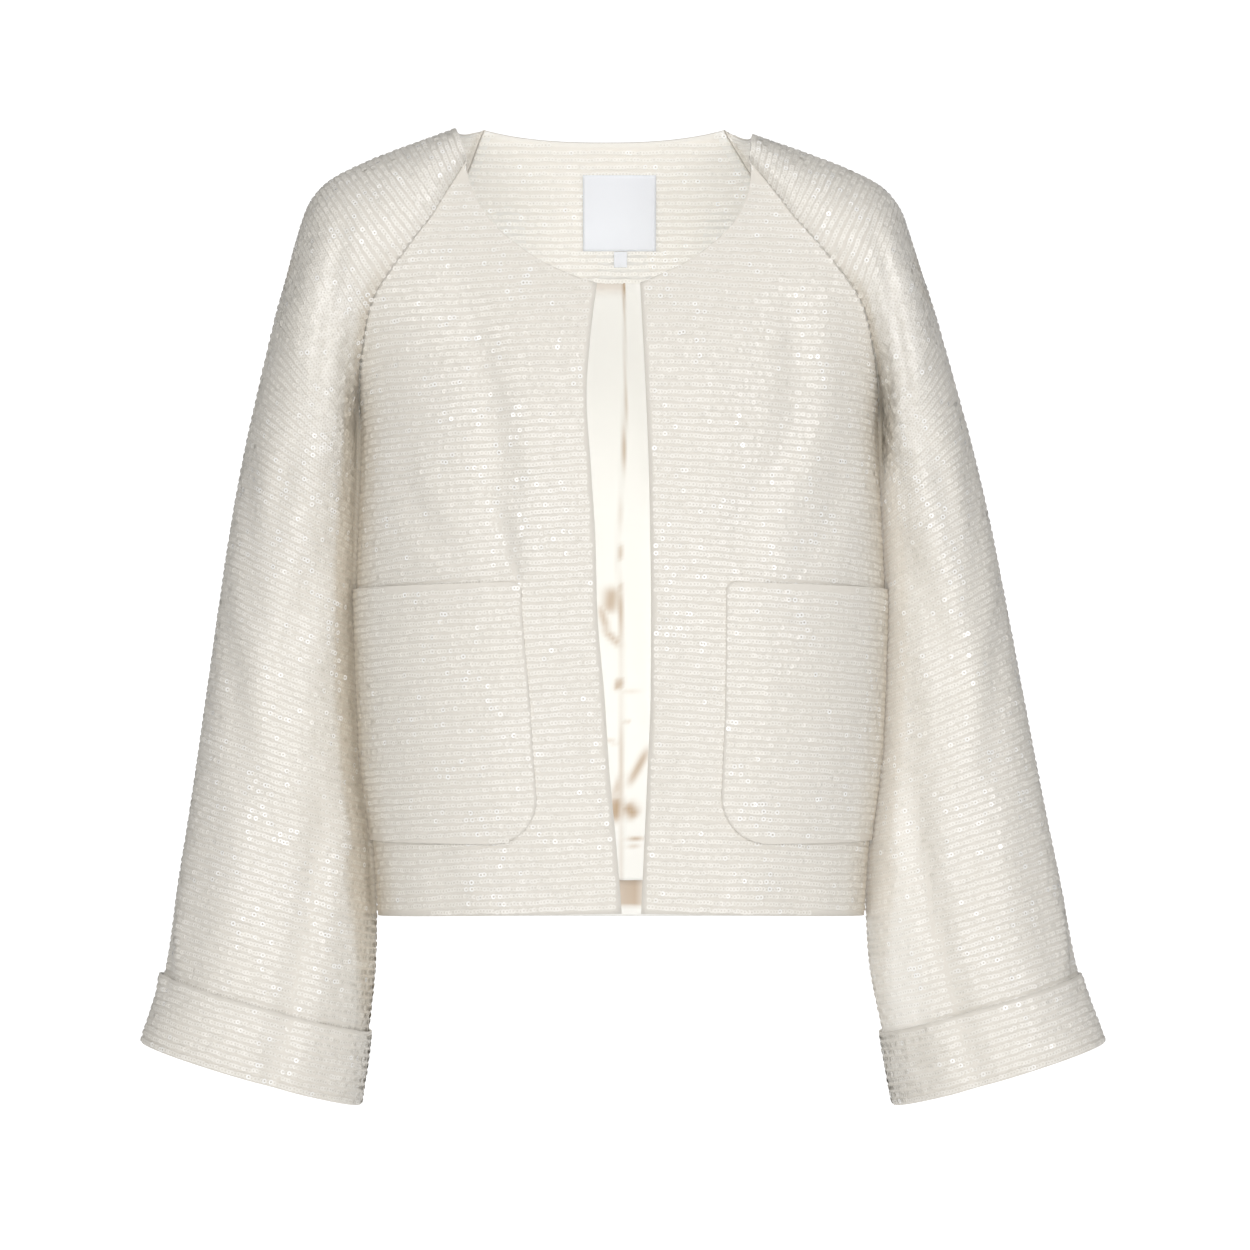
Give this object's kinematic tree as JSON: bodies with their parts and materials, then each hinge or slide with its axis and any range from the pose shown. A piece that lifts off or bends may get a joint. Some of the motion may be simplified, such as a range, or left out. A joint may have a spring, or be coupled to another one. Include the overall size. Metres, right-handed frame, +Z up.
{
  "type": "jacket",
  "caption": "Cropped open-front jacket in cream sequin cloth, with raglan sleeves, wide turned-up cuffs, patch pockets and a satin back lining.",
  "frame": {"origin": "midway between the two high shoulder points, where a wearer's shoulders hold the jacket", "axes": "+Z up, the front faces -Y, +X is the wearer's left"},
  "size_m": [0.6721, 0.2369, 0.6854],
  "materials": {
    "sequin_cloth": "cream cloth with rows of small clear ring sequins",
    "satin": "off-white lining satin",
    "label": "bare white woven label"
  },
  "bodies": {
    "root": {"back": "sequin_cloth", "front_left": "sequin_cloth", "front_right": "sequin_cloth", "sleeve_left": "sequin_cloth", "sleeve_right": "sequin_cloth", "cuff_left": "sequin_cloth", "cuff_right": "sequin_cloth", "pocket_left": "sequin_cloth", "pocket_right": "sequin_cloth", "back_facing": "sequin_cloth", "sleeve_facing_left": "sequin_cloth", "sleeve_facing_right": "sequin_cloth", "lining_back": "satin", "neck_label": "label", "size_tab": "label"}
  },
  "joints": []
}
